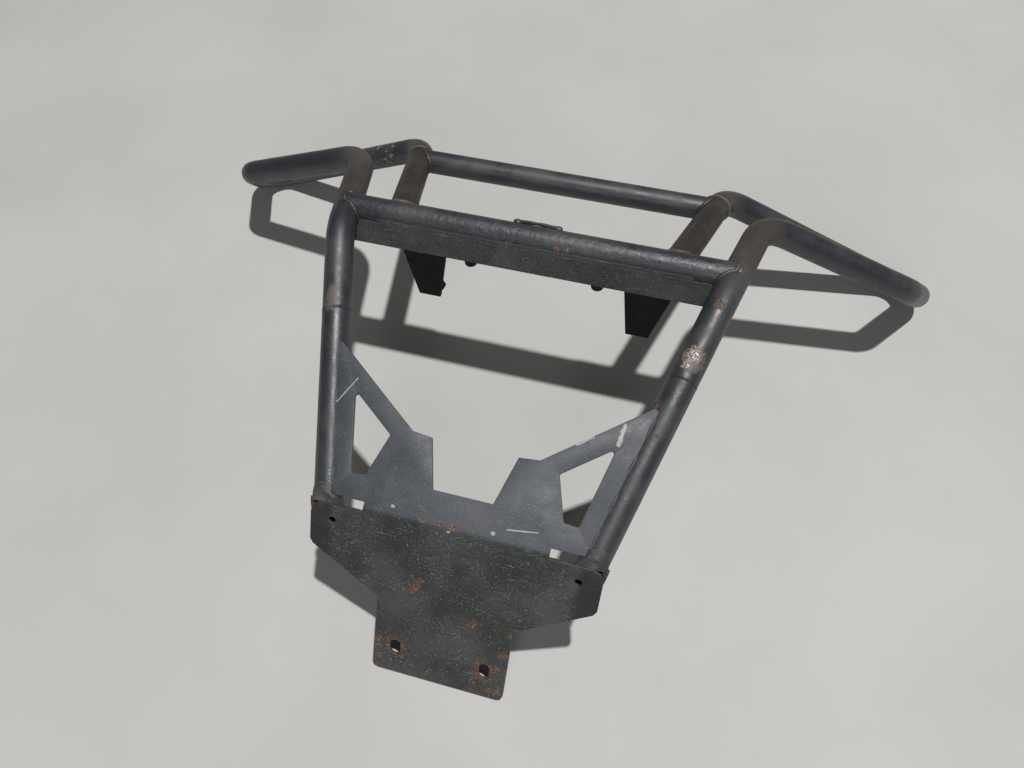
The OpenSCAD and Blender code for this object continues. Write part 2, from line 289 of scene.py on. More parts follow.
def paintedSteel(name, look):
    material = bpy.data.materials.new(name)
    material.use_nodes = True
    tree = material.node_tree
    tree.nodes.clear()
    place = put(tree, "ShaderNodeTexCoord").outputs["Object"]
    normal = put(tree, "ShaderNodeNewGeometry").outputs["Normal"]
    facing = put(tree, "ShaderNodeSeparateXYZ", {0: normal}).outputs["Z"]

    clouds = noiseAt(tree, place, grain["clouds"], 5)
    smudge = noiseAt(tree, place, grain["smudge"], 4)
    fine = noiseAt(tree, place, grain["fine"], 3)
    grit = noiseAt(tree, place, grain["grit"], 2)
    ragged = maths(tree, "SUBTRACT", noiseAt(tree, place, grain["ragged"], 5, 0.75), 0.5)

    # paint, with a faint cloudy change of shade and a fine mottle
    paint, pale, chipAmount = look["paint"], look["paintPale"], look["chips"]
    if look["below"]:
        paint, pale, chipAmount = belowFold(tree, place, ragged, look)
    mottle = plus(tree, times(tree, clouds, grain["cloudShare"]), times(tree, fine, grain["fineShare"]))
    colour = mixColours(tree, soften(tree, mottle, *fades["mottle"]), paint, pale)
    gloss = soften(tree, smudge, *fades["gloss"],
                   look["roughness"] - grain["smoother"], look["roughness"] + grain["rougher"])

    if look["brownSpots"]:
        browned = times(tree, nearSpots(tree, place, look["brownSpots"], ragged), cover["brown"])
        colour = mixColours(tree, browned, colour, mixColours(tree, fine, look["brown"], look["brownPale"]))
        gloss = mix(tree, browned, gloss, rough["brown"])

    # dust lies on what faces up
    dustSpread = soften(tree, clouds, *look["dustAt"])
    upward = soften(tree, facing, *fades["upward"])
    dust = times(tree, times(tree, dustSpread, upward), look["dust"])
    colour = mixColours(tree, dust, colour, look["dustColour"])
    gloss = mix(tree, dust, gloss, rough["dust"])

    # small pale chips and scratches, in patches
    patch = soften(tree, smudge, *fades["patch"])
    rarity = look["chipRarity"]
    chips = times(tree, soften(tree, grit, rarity, rarity + grain["chipRim"]), patch)
    scratch = times(tree, scratchLines(tree, place), look["scratches"])
    marks = times(tree, larger(tree, chips, scratch), chipAmount)
    colour = mixColours(tree, marks, colour, look["chipColour"])

    if look["paleLines"]:
        rubbed = nearLines(tree, place, look["paleLines"], ragged)
        rubbed = times(tree, rubbed, soften(tree, grit, *fades["rubbed"]))
        colour = mixColours(tree, rubbed, colour, look["lineColour"])

    # worn edges: where the rounded normal leaves the true one
    soft = put(tree, "ShaderNodeBevel", {"Radius": grain["edgeReach"]}, samples=4).outputs[0]
    turned = vectors(tree, "DOT_PRODUCT", soft, normal)
    edge = times(tree, soften(tree, turned, *fades["edge"]), soften(tree, smudge, *fades["edgePatch"]))
    edge = times(tree, edge, look["wear"])
    colour = mixColours(tree, edge, colour, look["wearColour"])

    # brown primer showing, then rust: a little everywhere, and in its own spots and broken rings
    if look["primerSpots"]:
        primer = nearSpots(tree, place, look["primerSpots"], ragged)
        shade = mixColours(tree, soften(tree, fine, *fades["primer"]), look["primer"], look["dustColour"])
        colour = mixColours(tree, times(tree, primer, cover["primer"]), colour, shade)
        gloss = mix(tree, primer, gloss, rough["primer"])
    rust = soften(tree, noiseAt(tree, place, grain["rust"], 6, 0.7), *fades["rust"])
    rust = times(tree, rust, look["rust"])
    if look["rustSpots"]:
        rust = larger(tree, rust, nearSpots(tree, place, look["rustSpots"], ragged))
    for ring in look["rustRings"]:
        broken = soften(tree, smudge, *fades["ring"])
        rust = larger(tree, rust, times(tree, nearSpots(tree, place, [ring], ragged), broken))
    rustMix = mixColours(tree, soften(tree, fine, *fades["rustTone"]), look["rustDark"], look["rustPale"])
    tone = soften(tree, noiseAt(tree, place, grain["rustTone"], 3), *fades["rustTone"])
    rustMix = mixColours(tree, tone, rustMix, look["rustOrange"])
    colour = mixColours(tree, times(tree, rust, cover["rust"]), colour, rustMix)
    gloss = mix(tree, rust, gloss, rough["rust"])

    # orange peel, lumps under the paint, and steps at the rust's edge
    lumps = noiseAt(tree, place, look["lumpScale"], 3, 0.6)
    height = plus(tree, times(tree, fine, look["peel"]), times(tree, lumps, look["lumps"]))
    height = plus(tree, height, times(tree, rust, stand["rust"]))
    height = maths(tree, "SUBTRACT", height, times(tree, marks, stand["marks"]))

    shader = put(tree, "ShaderNodeBsdfPrincipled", {"Specular IOR Level": look["specular"]})
    if look["bareSpots"]:
        # bare metal, rubbed bright and rough
        bare = nearSpots(tree, place, look["bareSpots"], ragged)
        bare = times(tree, bare, soften(tree, grit, *fades["bare"]))
        colour = mixColours(tree, bare, colour, look["bareColour"])
        gloss = mix(tree, bare, gloss, rough["bare"])
        height = plus(tree, height, times(tree, bare, times(tree, grit, stand["bare"])))
        tree.links.new(times(tree, bare, cover["bareMetallic"]), shader.inputs["Metallic"])
    bump = put(tree, "ShaderNodeBump", {
        "Height": height, "Strength": look["bump"], "Distance": grain["bumpDistance"], "Normal": soft})
    for socket, value in (("Base Color", colour), ("Roughness", gloss), ("Normal", bump.outputs[0])):
        tree.links.new(value, shader.inputs[socket])
    out = put(tree, "ShaderNodeOutputMaterial")
    tree.links.new(shader.outputs[0], out.inputs["Surface"])
    return material


# The tubes' marks, each a centre and a size: primer by both splices, a rubbed patch on the right
# upright, rust on that upright and its neck, and both primer and rust at the tubes' feet.
leftFoot, leftUp = flip(guard["foot"]), flip(upDir)
tubeRust = [
    (besideTube(guard["foot"], upDir, 0.350, -2, radius), 0.0070),
    (besideTube(guard["knee"], neckDir, 0.052, -31, radius), 0.0055),
    (besideTube(guard["foot"], upDir, 0.206, -58, radius), 0.0060),
    (besideTube(guard["foot"], upDir, 0.170, 8, radius), 0.0030),
]
tubePrimer = [
    (besideTube(leftFoot, leftUp, 0.258, -10, radius), 0.0100),
    (besideTube(leftFoot, leftUp, 0.268, -4, radius), 0.0080),
    (besideTube(leftFoot, leftUp, 0.248, -18, radius), 0.0070),
    (besideTube(guard["foot"], upDir, 0.274, 5, radius), 0.0150),
    (besideTube(guard["foot"], upDir, 0.268, 26, radius), 0.0095),
]
tubeBare = [
    (besideTube(guard["foot"], upDir, 0.276, -6, radius), 0.0105),
    (besideTube(guard["foot"], upDir, 0.264, -14, radius), 0.0065),
    (besideTube(guard["foot"], upDir, 0.357, 14, radius), 0.0032),
]
footPrimer = [
    (besideTube(leftFoot, leftUp, -0.004, -30, radius), 0.0100),
    (besideTube(leftFoot, leftUp, -0.008, 10, radius), 0.0060),
    (besideTube(guard["foot"], upDir, -0.006, 20, radius), 0.0085),
    (besideTube(guard["foot"], upDir, -0.010, 45, radius), 0.0080),
]
footRust = [
    (besideTube(leftFoot, leftUp, -0.006, -38, radius), 0.0060),
    (besideTube(guard["foot"], upDir, -0.006, 38, radius), 0.0050),
]
crossbarRust = [(Vector(spot), size) for spot, size in (
    ((-0.030, 0.113, 0.280), 0.0040), ((-0.030, 0.108, 0.266), 0.0034),
    ((0.036, 0.115, 0.285), 0.0045), ((0.049, 0.116, 0.286), 0.0040), ((0.150, 0.112, 0.268), 0.0070))]
# the base plate's rust, as x, distance down the skid, size
skidRust = [(onSkid(x, down), size) for x, down, size in (
    (-0.0458, 0.1001, 0.0070), (-0.0395, 0.0930, 0.0060), (-0.0344, 0.0856, 0.0045),
    (0.0362, 0.1342, 0.0060), (0.0400, 0.1290, 0.0040), (0.0486, 0.1285, 0.0022),
    (-0.0849, 0.1933, 0.0060), (-0.0840, 0.2080, 0.0055), (-0.0817, 0.2232, 0.0050),
    (-0.0905, 0.2421, 0.0080), (0.0825, 0.1693, 0.0060), (0.0770, 0.1679, 0.0035),
    (0.0776, 0.1929, 0.0045), (0.0880, 0.1920, 0.0040), (0.0808, 0.2296, 0.0070),
    (0.0688, 0.2306, 0.0050), (0.0466, 0.2387, 0.0050), (0.0488, 0.2221, 0.0055),
    (0.0890, 0.1349, 0.0050), (-0.0420, -0.0035, 0.0045), (-0.0185, -0.0060, 0.0050),
    (-0.0031, -0.0030, 0.0050), (0.0960, 0.1250, 0.0040), (-0.0605, 0.1870, 0.0045),
    (-0.0700, 0.1960, 0.0035), (-0.0510, 0.2140, 0.0040), (0.0520, 0.1900, 0.0035),
    (0.0690, 0.2130, 0.0040))]
gussetRust = [(onGusset(x, up), size) for x, up, size in (
    (0.2064, 0.1970, 0.0050), (-0.0910, 0.1110, 0.0028), (-0.0960, 0.1155, 0.0025))]
slotRings = [(onSkid(x, 0.200), 0.0165) for x in (-0.0605, 0.0605)]
# the base plate's pale scratches, as first end, last end, half width
plateScratches = [
    (onGusset(-0.186, 0.120), onGusset(-0.168, 0.154), 0.0008),
    (onGusset(0.168, 0.144), onGusset(0.171, 0.168), 0.0026),
    (onGusset(0.120, 0.133), onGusset(0.138, 0.147), 0.0010),
    (onGusset(0.062, 0.016), onGusset(0.098, 0.021), 0.0008),
    (onSkid(-0.0080, 0.0039), onSkid(-0.0060, 0.0039), 0.0016),
    (onGusset(0.0450, 0.0080), onGusset(0.0470, 0.0080), 0.0018),
    (onGusset(-0.0816, 0.0109), onGusset(-0.0796, 0.0109), 0.0018)]
neckBrown = [(turn(guard["knee"] + neckDir * along), size) for turn in (Vector, flip)
             for along, size in ((0.075, 0.030), (0.120, 0.034), (0.165, 0.034))]
legRust = [(Vector((0.194, 0.148, 0.292)), 0.0060), (Vector((0.190, 0.156, 0.291)), 0.0040)]

materials = {
    "tube": paintedSteel("blackTubePaint", look(
        rustSpots=tubeRust, primerSpots=tubePrimer, bareSpots=tubeBare, brownSpots=neckBrown)),
    "crossbar": paintedSteel("lumpyTubePaint", look(
        rustSpots=crossbarRust, lumps=1.8, lumpScale=120, bump=0.6)),
    "rearBar": paintedSteel("smoothTubePaint", look(lumps=0.5, dust=0.4)),
    "brownTube": paintedSteel("dustyTubePaint", look(
        paint=(0.024, 0.021, 0.018), paintPale=(0.042, 0.036, 0.030), roughness=0.52, specular=0.5,
        dust=0.45, dustColour=(0.13, 0.105, 0.082), rust=0.3, rustSpots=legRust)),
    "plate": paintedSteel("slatePlatePaint", look(
        paint=(0.054, 0.062, 0.076), paintPale=(0.080, 0.089, 0.105), roughness=0.52, specular=0.6,
        chips=0.4, chipRarity=0.625, lumps=0.6, bump=0.4, wear=0.8, wearColour=(0.24, 0.20, 0.17),
        dust=0.15, rustSpots=skidRust + gussetRust, rustRings=slotRings, paleLines=plateScratches,
        below={"from": foldMid, "up": gussetUp, "fray": 0.022, "reach": 0.004,
               "paint": (0.026, 0.029, 0.027), "paintPale": (0.066, 0.072, 0.069), "chips": 1.0,
               # the ears' colour is darker paint and painted shade
               "earFrom": 0.150, "earReach": 0.012, "earFray": 0.02, "earPaintAndShade": (0.020, 0.020, 0.021),
               "earChips": 0.25})),
    "flange": paintedSteel("chippedStripPaint", look(
        paint=(0.034, 0.038, 0.037), paintPale=(0.060, 0.064, 0.062), roughness=0.55, specular=0.5,
        chips=0.8, chipRarity=0.64, lumps=1.8, bump=0.7, wear=0.2, rustSpots=crossbarRust)),
    # the brackets' near-black is black paint and painted shade from the crossbar above them
    "bracket": paintedSteel("blackPaintAndShade", look(
        paint=(0.008, 0.008, 0.008), paintPale=(0.012, 0.012, 0.012), roughness=0.75, specular=0.3,
        dust=0.1, chips=0.1)),
    "bead": paintedSteel("paintedBead", look(
        paint=(0.026, 0.025, 0.024), paintPale=(0.050, 0.045, 0.040), dust=0.3, rust=0.3)),
    "tanBead": paintedSteel("tanBead", look(
        paint=(0.075, 0.058, 0.042), paintPale=(0.15, 0.115, 0.080), roughness=0.6, dust=0.3, rust=0.6)),
    "rustyCap": paintedSteel("rustyCap", look(
        paint=(0.024, 0.025, 0.028), paintPale=(0.050, 0.046, 0.045), roughness=0.55, dust=0.3, rust=0.5,
        primerSpots=footPrimer, rustSpots=footRust, lumps=2.0, bump=0.8)),
}
print("materials ready")


# trees of nodes that grow a mesh along a path
def newTree(name, sizes):
    tree = bpy.data.node_groups.new(name, "GeometryNodeTree")
    tree.interface.new_socket("Geometry", in_out="INPUT", socket_type="NodeSocketGeometry")
    tree.interface.new_socket("Geometry", in_out="OUTPUT", socket_type="NodeSocketGeometry")
    for label, kind, value in sizes:
        socket = tree.interface.new_socket(label, in_out="INPUT", socket_type="NodeSocket" + kind)
        if value is not None:
            socket.default_value = value
    return tree, put(tree, "NodeGroupInput").outputs, put(tree, "NodeGroupOutput").inputs


def endTree(tree, skin, given, result):
    skin = put(tree, "GeometryNodeSetShadeSmooth", {"Geometry": skin}).outputs[0]
    skin = put(tree, "GeometryNodeRealizeInstances", {"Geometry": skin}).outputs[0]
    skin = put(tree, "GeometryNodeSetMaterial", {
        "Geometry": skin, "Material": given["Material"]}).outputs[0]
    tree.links.new(skin, result["Geometry"])


def seededNoise(tree, given, scale):
    where = put(tree, "GeometryNodeInputPosition").outputs[0]
    wave = put(tree, "ShaderNodeTexNoise", {
        "Vector": where, "W": given["Seed"], "Scale": scale, "Detail": 2.0}, noise_dimensions="4D")
    return maths(tree, "SUBTRACT", wave.outputs[0], 0.5)


def makeTubeTree():
    tree, given, result = newTree("bentTube", [
        ("Radius", "Float", 0.019), ("Step", "Float", 0.004), ("Bend Steps", "Int", 20),
        ("Dents", "Float", 0.0004), ("Dent Scale", "Float", 22.0), ("Sides", "Int", 56),
        ("Seed", "Int", 1), ("Material", "Material", None)])
    path = put(tree, "GeometryNodeMeshToCurve", {"Mesh": given["Geometry"]}).outputs[0]
    bend = put(tree, "GeometryNodeInputNamedAttribute", {"Name": "bend"}, data_type="FLOAT").outputs[0]
    rounded = put(tree, "GeometryNodeFilletCurve", {
        "Curve": path, "Count": given["Bend Steps"], "Radius": bend}, mode="POLY").outputs[0]
    even = put(tree, "GeometryNodeResampleCurve", {
        "Curve": rounded, "Length": given["Step"]}, mode="LENGTH").outputs[0]
    ring = put(tree, "GeometryNodeCurvePrimitiveCircle", {
        "Resolution": given["Sides"], "Radius": given["Radius"]}).outputs[0]
    skin = put(tree, "GeometryNodeCurveToMesh", {"Curve": even, "Profile Curve": ring}).outputs[0]
    # slow dents, so that the highlights wander along the tube
    depth = times(tree, seededNoise(tree, given, given["Dent Scale"]), given["Dents"])
    outward = put(tree, "GeometryNodeInputNormal").outputs[0]
    skin = put(tree, "GeometryNodeSetPosition", {
        "Geometry": skin, "Offset": vectors(tree, "SCALE", outward, depth)}).outputs[0]
    endTree(tree, skin, given, result)
    return tree


beadShape = {"stepsPerRipple": 5, "sharpness": 0.6, "waist": 0.9, "least": 0.0002, "sides": 12}


def makeBeadTree():
    tree, given, result = newTree("weldBead", [
        ("Width", "Float", 0.0036), ("Pitch", "Float", 0.0032), ("Ripple", "Float", 0.22),
        ("Wander", "Float", 0.3), ("Wander Scale", "Float", 90.0), ("Taper", "Float", 0.0),
        ("Seed", "Int", 3), ("Material", "Material", None)])
    path = put(tree, "GeometryNodeMeshToCurve", {"Mesh": given["Geometry"]}).outputs[0]
    step = times(tree, given["Pitch"], 1 / beadShape["stepsPerRipple"])
    even = put(tree, "GeometryNodeResampleCurve", {
        "Curve": path, "Length": step}, mode="LENGTH").outputs[0]
    spline = put(tree, "GeometryNodeSplineParameter").outputs
    # each ripple climbs fast and then slowly, and drops at once, as the puddle froze
    turns = maths(tree, "DIVIDE", spline["Length"], given["Pitch"])
    saw = maths(tree, "POWER", maths(tree, "FRACT", turns), beadShape["sharpness"])
    swell = times(tree, seededNoise(tree, given, given["Wander Scale"]), given["Wander"])
    size = plus(tree, times(tree, saw, given["Ripple"]), swell)
    size = times(tree, plus(tree, size, beadShape["waist"]), given["Width"])
    # an open bead starts and stops rounded
    ends = times(tree, spline["Factor"], maths(tree, "SUBTRACT", 1.0, spline["Factor"]))
    ends = maths(tree, "POWER", times(tree, ends, 4.0), given["Taper"])
    size = larger(tree, times(tree, size, ends), beadShape["least"])
    even = put(tree, "GeometryNodeSetCurveRadius", {"Curve": even, "Radius": size}).outputs[0]
    ring = put(tree, "GeometryNodeCurvePrimitiveCircle", {
        "Resolution": beadShape["sides"], "Radius": 1.0}).outputs[0]
    skin = put(tree, "GeometryNodeCurveToMesh", {
        "Curve": even, "Profile Curve": ring, "Scale": size, "Fill Caps": True}).outputs[0]
    endTree(tree, skin, given, result)
    return tree


def runTree(name, tree, paths, values, bends=None, closed=False, wall=0.0):
    # paths are lists of points; the result is one plain mesh in a new object
    mesh = bpy.data.meshes.new(name + "Path")
    points, edges = [], []
    for path in paths:
        first = len(points)
        points += [tuple(p) for p in path]
        edges += [(first + i, first + i + 1) for i in range(len(path) - 1)]
        if closed:
            edges.append((first + len(path) - 1, first))
    mesh.from_pydata(points, edges, [])
    bend = mesh.attributes.new("bend", "FLOAT", "POINT")
    for i, value in enumerate(bends or [0.0] * len(points)):
        bend.data[i].value = value
    maker = bpy.data.objects.new(name + "Maker", mesh)
    bpy.context.collection.objects.link(maker)
    modifier = maker.modifiers.new("shape", "NODES")
    modifier.node_group = tree
    sockets = [item for item in tree.interface.items_tree if item.in_out == "INPUT"]
    keys = {socket.name: socket.identifier for socket in sockets}
    for label, value in values.items():
        modifier[keys[label]] = value
    if wall:
        shell = maker.modifiers.new("wall", "SOLIDIFY")
        shell.thickness = wall
        shell.offset = -1
    return settle(name, maker)


def settle(name, maker):
    # the evaluated shape becomes a plain mesh in a new object at the origin
    shaped = maker.evaluated_get(bpy.context.evaluated_depsgraph_get())
    plain = bpy.data.meshes.new_from_object(shaped)
    bpy.data.objects.remove(maker)
    piece = bpy.data.objects.new(name, plain)
    bpy.context.collection.objects.link(piece)
    return piece


def finishPiece(piece, slotName, *nodes):
    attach(piece, "root")
    if nodes:
        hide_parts(*nodes)


tubeTree = makeTubeTree()
beadTree = makeBeadTree()

# hoops: bent tubes, one for each side
hoop = {"dents": 0.0005, "step": 0.004, "sides": 56, "seeds": {"Right": 9, "Left": 4}}
hoopPoints = [splice, guard["knee"], guard["topCorner"], guard["wingFront"], guard["wingRear"],
              guard["rearCorner"], seam]
hoopBends = [0, guard["kneeBend"], guard["cornerBend"], guard["wingBend"], guard["wingBend"],
             guard["cornerBend"], 0]
for side, turn in (("Right", Vector), ("Left", flip)):
    piece = runTree("hoopTube" + side, tubeTree, [[turn(p) for p in hoopPoints]], {
        "Radius": radius, "Step": hoop["step"], "Dents": hoop["dents"],
        "Sides": hoop["sides"], "Seed": hoop["seeds"][side], "Material": materials["tube"]},
        bends=hoopBends, wall=guard["tubeWall"])
    finishPiece(piece, "tube_paint", "hoop_" + side.lower())
print("hoops bent")

# Base plate: one flat outline with its holes, folded, thickened and eased at the edges. The outline,
# window, slot and vent are in millimetres from the middle and up from the fold; the rest is in metres.
plate = {
    "thick": 0.005, "foldRadius": 0.009, "foldSteps": 5, "ease": 0.0006,
    "windowCorner": 0.003, "cornerSteps": 4, "holeSteps": 24,
    "outline": [(0.0, 41.3), (38, 41.3), (55, 102.4), (81.4, 105.2), (202, 197), (210.6, 192),
                (166.8, 7.3), (117, 7.3), (117, -6.5), (171, -6.5), (180, -10.5), (184, -16.5),
                (185, -24.5), (185, -64), (181, -70.7), (90, -127), (90, -235), (87.6, -240.6),
                (82, -243)],
    "window": [(167, 139), (143.5, 38), (125, 39.5), (107.5, 94)],
    "slot": (60.5, -202, 7, 5), "vent": (156, -29, 4.5),
}


def roundedLoop(points, corner):
    # a closed outline with each corner cut by an arc of the given radius
    loop = []
    for i, point in enumerate(points):
        before = (points[i - 1] - point).normalized()
        after = (points[(i + 1) % len(points)] - point).normalized()
        half = before.angle(after) / 2
        back = corner / math.tan(half)
        centre = point + (before + after).normalized() * corner / math.sin(half)
        for step in range(plate["cornerSteps"] + 1):
            blend = step / plate["cornerSteps"]
            rim = point + before * back * (1 - blend) + after * back * blend - centre
            loop.append(centre + rim.normalized() * corner)
    return loop


def holeLoop(x, up, size, stretch=0.0):
    # a round hole, or a slot when its halves are moved apart by the stretch
    loop = []
    for i in range(plate["holeSteps"]):
        turn = 2 * math.pi * i / plate["holeSteps"]
        # the hundredth of a radian puts each side point in a half of its own
        shift = math.copysign(stretch, math.sin(turn + 0.01))
        loop.append(Vector((x + size * math.cos(turn), up + size * math.sin(turn) + shift, 0)) / 1000)
    return loop


foldBend = guard["skidSlope"] - gussetSlope
foldReach = plate["foldRadius"] * math.tan(foldBend / 2)


def foldOut(turn):
    return Vector((0, -math.sin(turn), math.cos(turn)))


def foldedPoint(x, up):
    if up >= foldReach:
        return onGusset(x, up)
    if up <= -foldReach:
        return onSkid(x, -up)
    middle = foldOut(gussetSlope + foldBend / 2)
    centre = foldMid - middle * plate["foldRadius"] / math.cos(foldBend / 2)
    turn = gussetSlope + foldBend * (foldReach - up) / (2 * foldReach)
    return across * x + centre + foldOut(turn) * plate["foldRadius"]


def plateLoops():
    right = [Vector((x / 1000, up / 1000, 0)) for x, up in plate["outline"]]
    loops = [right + [Vector((-p.x, p.y, 0)) for p in reversed(right[1:])]]
    window = [Vector((x / 1000, up / 1000, 0)) for x, up in plate["window"]]
    slotX, slotUp, slotSize, slotStretch = plate["slot"]
    ventX, ventUp, ventSize = plate["vent"]
    for side in (1, -1):
        loops.append([Vector((p.x * side, p.y, 0)) for p in roundedLoop(window, plate["windowCorner"])])
        loops.append(holeLoop(side * slotX, slotUp, slotSize, slotStretch))
        loops.append(holeLoop(side * ventX, ventUp, ventSize))
    return loops


def makeBasePlate():
    sheet = bmesh.new()
    for loop in plateLoops():
        corners = [sheet.verts.new(p) for p in loop]
        for i, corner in enumerate(corners):
            sheet.edges.new((corners[i - 1], corner))
    bmesh.ops.triangle_fill(sheet, edges=sheet.edges[:], use_beauty=True, normal=(0, 0, 1))
    steps = plate["foldSteps"]
    for i in range(steps + 1):
        line = foldReach * (2 * i / steps - 1)
        bmesh.ops.bisect_plane(sheet, geom=sheet.verts[:] + sheet.edges[:] + sheet.faces[:], dist=1e-6,
                               plane_co=(0, line, 0), plane_no=(0, 1, 0))
    for corner in sheet.verts:
        corner.co = foldedPoint(corner.co.x, corner.co.y)
    bmesh.ops.remove_doubles(sheet, verts=sheet.verts[:], dist=1e-6)
    for face in sheet.faces:
        face.normal_update()
        if face.normal.z < 0:
            face.normal_flip()
    mesh = bpy.data.meshes.new("basePlateSheet")
    sheet.to_mesh(mesh)
    sheet.free()
    mesh.materials.append(materials["plate"])
    maker = bpy.data.objects.new("basePlateMaker", mesh)
    bpy.context.collection.objects.link(maker)
    shell = maker.modifiers.new("thickness", "SOLIDIFY")
    shell.thickness = plate["thick"]
    shell.offset = -1
    shell.use_even_offset = True
    eased = maker.modifiers.new("easedEdges", "BEVEL")
    eased.width = plate["ease"]
    eased.segments = 2
    eased.limit_method = "ANGLE"
    eased.angle_limit = math.radians(50)
    eased.use_clamp_overlap = False
    piece = settle("basePlateFolded", maker)
    piece.data.shade_smooth()
    piece.data.set_sharp_from_angle(angle=math.radians(25))
    return piece


finishPiece(makeBasePlate(), "plate_paint", "base_plate")
print("base plate folded")


# welds: rippled beads along the lines where tubes meet
def saddle(start, direction, own, otherPoint, otherDirection, other, steps=90):
    # the closed line where one tube's skin runs into another's
    side = direction.orthogonal().normalized()
    top = direction.cross(side)
    flatWay = direction - otherDirection * direction.dot(otherDirection)
    loop = []
    for i in range(steps):
        turn = 2 * math.pi * i / steps
        point = start + (side * math.cos(turn) + top * math.sin(turn)) * own
        gap = point - otherPoint
        flatGap = gap - otherDirection * gap.dot(otherDirection)
        a, b, c = flatWay.dot(flatWay), 2 * flatGap.dot(flatWay), flatGap.dot(flatGap) - other * other
        loop.append(point + direction * (-b - math.sqrt(max(0.0, b * b - 4 * a * c))) / (2 * a))
    return loop


def ringAt(centre, direction, own, steps=72):
    side = direction.orthogonal().normalized()
    top = direction.cross(side)
    turns = [2 * math.pi * i / steps for i in range(steps)]
    return [centre + (side * math.cos(t) + top * math.sin(t)) * own for t in turns]


def bothSides(path):
    return [path, [flip(p) for p in path]]


rearBarMid = Vector((0, rearBarEnd.y, rearBarEnd.z))
beadLook = {"pitch": 0.0032, "wander": 0.5, "ripple": 0.16, "taper": 0.2, "firstSeed": 5}

lug = {"middle": guard["crossbar"] + Vector((0.003, 0.0172, 0.0124)), "half": 0.028, "arch": 0.0012,
       "crown": 0.6, "thick": 0.0026, "steps": 6, "blobHalf": 0.006, "blobSink": 0.0015}
lugPath = []
for i in range(-lug["steps"], lug["steps"] + 1):
    part = i / lug["steps"]
    lugPath.append(lug["middle"] + Vector((lug["half"] * i / lug["steps"], 0,
                                           lug["arch"] * (lug["crown"] - part ** 2))))
blobPaths = []
for end in (-1, 1):
    blobPaths.append([lug["middle"] + Vector((
        end * lug["half"] + lug["blobHalf"] * t, -lug["blobSink"], -lug["blobSink"])) for t in (-1, 0, 1)])

stitch = {"starts": (0.014, 0.062, 0.110, 0.160), "length": 0.026, "steps": 8, "inset": 0.0093,
          "sink": 0.0008}
stitchPaths = []
for start in stitch["starts"]:
    ups = [start + stitch["length"] * i / stitch["steps"] for i in range(stitch["steps"] + 1)]
    stitchPaths += bothSides([onGusset(edgeX(up) - stitch["inset"], up, -stitch["sink"]) for up in ups])

closedBeads = [
    {"name": "crossbarBead", "node": "weld_crossbar", "finish": "bead", "width": 0.0030,
     "paths": bothSides(saddle(guard["crossbar"], across, radius, guard["knee"], neckDir, radius))},
    {"name": "legBead", "node": "weld_legs", "finish": "tanBead", "width": 0.0030,
     "paths": bothSides(saddle(seam, legDir, radius, guard["crossbar"], across, radius))},
    {"name": "rearBarBead", "node": "weld_rear_bar", "finish": "bead", "width": 0.0030,
     "paths": bothSides(saddle(rearBarMid, across, guard["rearBarRadius"], seam, legDir, radius))},
    {"name": "seamBead", "node": "weld_seams", "finish": "tanBead", "width": 0.0021,
     "paths": bothSides(ringAt(seam, legDir, radius + 0.0002))},
    {"name": "spliceBead", "node": "weld_splices", "finish": "tube", "width": 0.0006,
     "paths": bothSides(ringAt(splice, upDir, radius))},
]
openBeads = [
    {"name": "gussetStitches", "node": "weld_base", "finish": "plate", "width": 0.0020,
     "paths": stitchPaths},
    {"name": "lugRod", "node": "crossbar_lug", "finish": "brownTube", "width": lug["thick"],
     "ripple": 0.02, "taper": 0.04, "paths": [lugPath]},
    {"name": "lugBlobs", "node": "weld_lug", "finish": "bead", "width": 0.0052,
     "ripple": 0.05, "taper": 0.35, "paths": blobPaths},
]
for number, bead in enumerate(closedBeads + openBeads):
    closed = number < len(closedBeads)
    piece = runTree(bead["name"], beadTree, bead["paths"], {
        "Width": bead["width"], "Pitch": beadLook["pitch"], "Wander": beadLook["wander"],
        "Ripple": bead.get("ripple", beadLook["ripple"]),
        "Taper": 0.0 if closed else bead.get("taper", beadLook["taper"]),
        "Seed": beadLook["firstSeed"] + number, "Material": materials[bead["finish"]]}, closed=closed)
    finishPiece(piece, "painted_weld", bead["node"])
print("welds laid")

# the clear film round the left wing's rear tube: thin, a little loose and wrinkled
film = {"far": 0.113, "near": 0.052, "gap": 0.0003, "thick": 0.00015, "around": 72, "along": 34,
        "wrinkle": 0.0006, "wrinklesAlong": 130, "wrinklesAround": 2.5, "edgeWander": 0.0015}
# the glare colour is a painted highlight: the film's reflections put into its colour
filmLook = {"dark": (0.20, 0.20, 0.20), "glare": (0.72, 0.73, 0.75), "specular": 0.6, "thinnest": 0.06,
            "glareAlpha": 0.5, "creaseTurn": (0, 0.45, 0.1), "creaseSize": (45, 420, 420),
            "creaseFade": (0.50, 0.68), "patchSize": 60, "patchFade": (0.42, 0.62),
            "roughness": (0.3, 0.7, 0.12, 0.35), "bump": 0.7, "bumpDistance": 0.001}


